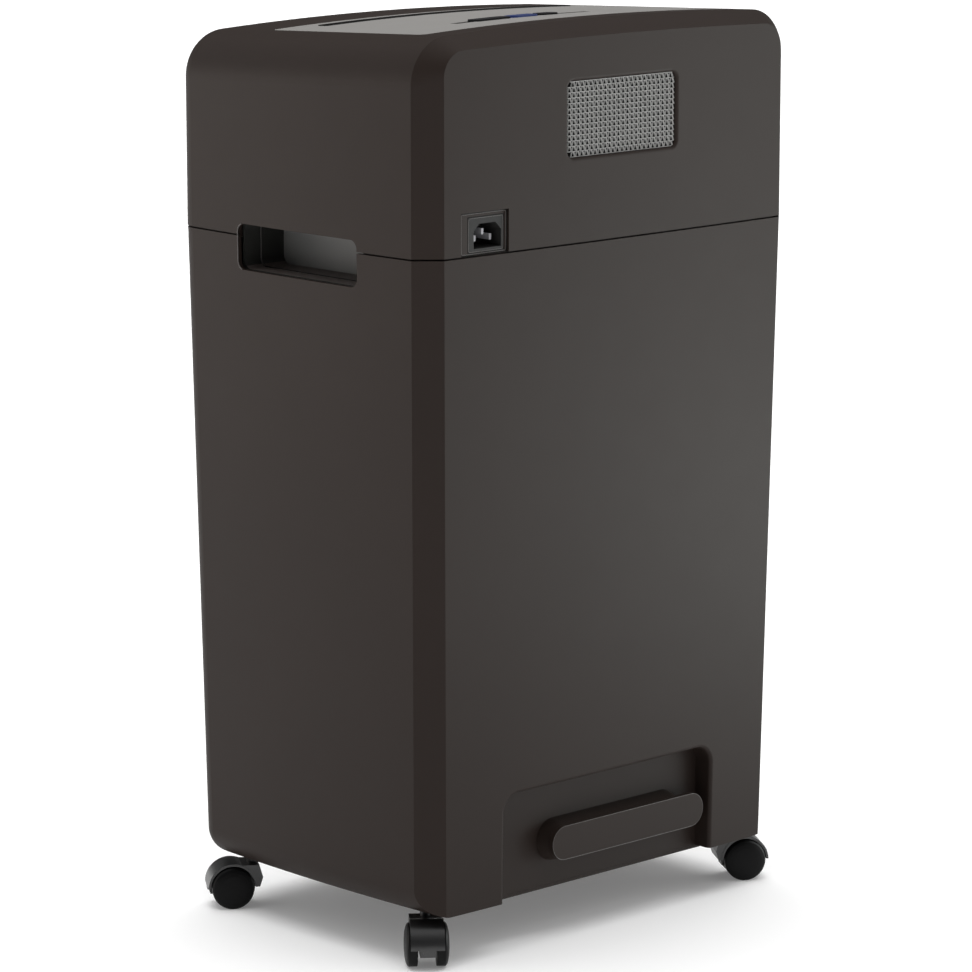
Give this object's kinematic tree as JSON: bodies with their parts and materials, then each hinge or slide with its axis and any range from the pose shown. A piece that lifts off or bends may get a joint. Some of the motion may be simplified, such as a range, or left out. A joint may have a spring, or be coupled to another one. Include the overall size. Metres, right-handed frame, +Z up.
{
  "type": "paper shredder",
  "caption": "Upright office paper shredder: crowned dark casing, grey top panel with paper slot, rear vent and mains inlet, pull-out waste bin, swivel casters.",
  "frame": {"origin": "centre of the footprint, on the floor", "axes": "+Z up, -Y towards the user's side (bin front), +Y rear with vent and inlet, +X to the right of a user who faces the front"},
  "size_m": [0.3566, 0.2566, 0.6306],
  "materials": {
    "casing_plastic": "fine leather-like grain, satin",
    "panel_grey": "satin grey",
    "grip_grey": "satin grey",
    "inner_black": "matt black",
    "vent_sheet": "painted expanded sheet",
    "cutter_steel": "machined",
    "gear_steel": "plain steel",
    "gear_nylon": "natural nylon",
    "bush_brass": "plain",
    "pin_nickel": "nickel plate",
    "motor_can": "enamel",
    "board_green": "solder resist",
    "button_dark": "semi-gloss",
    "button_lit": "translucent blue",
    "bin_plastic": "moulded",
    "window_clear": "smoked clear",
    "caster_black": "moulded nylon",
    "wheel_nylon": "moulded nylon",
    "axle_steel": "plain steel"
  },
  "bodies": {
    "casing": {"upper_casing": "casing_plastic", "top_panel": "panel_grey", "feed_throat": "inner_black", "control_bezel": "inner_black", "vent_mesh": "vent_sheet", "fan_frame": "inner_black", "inlet_bezel": "casing_plastic", "inlet_socket": "inner_black", "inlet_pins": "pin_nickel", "cutter_combs": "cutter_steel", "idler_pin": "gear_steel", "motor": "motor_can", "cutter_frames": "gear_steel", "cutter_bushes": "bush_brass", "tie_rods": "cutter_steel", "frame_screws": "gear_steel", "lower_casing": "casing_plastic", "chassis_plate": "gear_steel", "power_board": "board_green", "transformer": "motor_can", "control_board": "board_green", "paper_sensor": "inner_black", "bin_sensor": "inner_black", "grip_cup_left": "grip_grey", "grip_cup_right": "grip_grey", "cabinet_shell": "casing_plastic", "cord_recess": "casing_plastic", "base_plate": "casing_plastic", "bin_rails": "inner_black", "cord_bar": "casing_plastic", "caster_sockets": "caster_black"},
    "bin_unit": {"bin": "bin_plastic", "bin_front": "casing_plastic", "bin_window": "window_clear", "bin_handle": "inner_black", "bin_magnet": "gear_steel"},
    "front_roll": {"front_cutter_roll": "cutter_steel", "front_roll_gear": "gear_steel"},
    "rear_roll": {"rear_cutter_roll": "cutter_steel", "rear_roll_gear": "gear_steel", "driven_gear": "gear_nylon"},
    "idler": {"idler_gear": "gear_nylon"},
    "motor_rotor": {"motor_shaft": "gear_steel", "motor_pinion": "gear_steel"},
    "fan": {"fan_rotor": "inner_black"},
    "reverse_key": {"reverse_button": "button_dark"},
    "power_key": {"power_button": "button_lit"},
    "forward_key": {"forward_button": "button_dark"},
    "front_right_swivel": {"front_right_caster_fork": "caster_black"},
    "front_right_wheel_pair": {"front_right_caster_wheels": "wheel_nylon", "front_right_caster_axle": "axle_steel"},
    "rear_right_swivel": {"rear_right_caster_fork": "caster_black"},
    "rear_right_wheel_pair": {"rear_right_caster_wheels": "wheel_nylon", "rear_right_caster_axle": "axle_steel"},
    "rear_left_swivel": {"rear_left_caster_fork": "caster_black"},
    "rear_left_wheel_pair": {"rear_left_caster_wheels": "wheel_nylon", "rear_left_caster_axle": "axle_steel"},
    "front_left_swivel": {"front_left_caster_fork": "caster_black"},
    "front_left_wheel_pair": {"front_left_caster_wheels": "wheel_nylon", "front_left_caster_axle": "axle_steel"}
  },
  "joints": [
    {"name": "bin_slide", "type": "slide", "parent": "casing", "child": "bin_unit", "axis": [0, -1, 0], "range_m": [0, 0.2]},
    {"name": "rear_roll_spin", "type": "hinge", "parent": "casing", "child": "rear_roll", "pos_m": [0, -0.0288, 0.545], "axis": [1, 0, 0], "continuous": true},
    {"name": "front_roll_spin", "type": "hinge", "parent": "casing", "child": "front_roll", "pos_m": [0, -0.0572, 0.545], "axis": [1, 0, 0], "continuous": true},
    {"name": "idler_spin", "type": "hinge", "parent": "casing", "child": "idler", "pos_m": [-0.14, 0.006, 0.545], "axis": [1, 0, 0], "continuous": true},
    {"name": "motor_spin", "type": "hinge", "parent": "casing", "child": "motor_rotor", "pos_m": [-0.1, 0.037, 0.545], "axis": [1, 0, 0], "continuous": true},
    {"name": "fan_spin", "type": "hinge", "parent": "casing", "child": "fan", "pos_m": [-0.0025, 0.113, 0.566], "axis": [0, 1, 0], "continuous": true},
    {"name": "reverse_press", "type": "slide", "parent": "casing", "child": "reverse_key", "axis": [0, 0, -1], "range_m": [0, 0.0008], "stiffness_N_per_m": 400, "springref_m": -0.0005},
    {"name": "power_press", "type": "slide", "parent": "casing", "child": "power_key", "axis": [0, 0, -1], "range_m": [0, 0.0008], "stiffness_N_per_m": 400, "springref_m": -0.0005},
    {"name": "forward_press", "type": "slide", "parent": "casing", "child": "forward_key", "axis": [0, 0, -1], "range_m": [0, 0.0008], "stiffness_N_per_m": 400, "springref_m": -0.0005},
    {"name": "front_right_swivel_turn", "type": "hinge", "parent": "casing", "child": "front_right_swivel", "pos_m": [0.1453, -0.0907, 0.045], "axis": [0, 0, 1], "continuous": true},
    {"name": "front_right_wheel_spin", "type": "hinge", "parent": "front_right_swivel", "child": "front_right_wheel_pair", "pos_m": [0.15746, -0.0986, 0.0149], "axis": [0.5446, 0.8387, 0], "continuous": true},
    {"name": "rear_right_swivel_turn", "type": "hinge", "parent": "casing", "child": "rear_right_swivel", "pos_m": [0.1453, 0.0907, 0.045], "axis": [0, 0, 1], "continuous": true},
    {"name": "rear_right_wheel_spin", "type": "hinge", "parent": "rear_right_swivel", "child": "rear_right_wheel_pair", "pos_m": [0.15443, 0.10197, 0.0149], "axis": [-0.7771, 0.6293, 0], "continuous": true},
    {"name": "rear_left_swivel_turn", "type": "hinge", "parent": "casing", "child": "rear_left_swivel", "pos_m": [-0.1453, 0.0907, 0.045], "axis": [0, 0, 1], "continuous": true},
    {"name": "rear_left_wheel_spin", "type": "hinge", "parent": "rear_left_swivel", "child": "rear_left_wheel_pair", "pos_m": [-0.15746, 0.0986, 0.0149], "axis": [-0.5446, -0.8387, 0], "continuous": true},
    {"name": "front_left_swivel_turn", "type": "hinge", "parent": "casing", "child": "front_left_swivel", "pos_m": [-0.1453, -0.0907, 0.045], "axis": [0, 0, 1], "continuous": true},
    {"name": "front_left_wheel_spin", "type": "hinge", "parent": "front_left_swivel", "child": "front_left_wheel_pair", "pos_m": [-0.15746, -0.0986, 0.0149], "axis": [0.5446, -0.8387, 0], "continuous": true}
  ],
  "couplings": [
    {"joint": "front_roll_spin", "follows": "rear_roll_spin", "ratio": -1},
    {"joint": "idler_spin", "follows": "rear_roll_spin", "ratio": -3.1429},
    {"joint": "motor_spin", "follows": "rear_roll_spin", "ratio": 13.095}
  ]
}
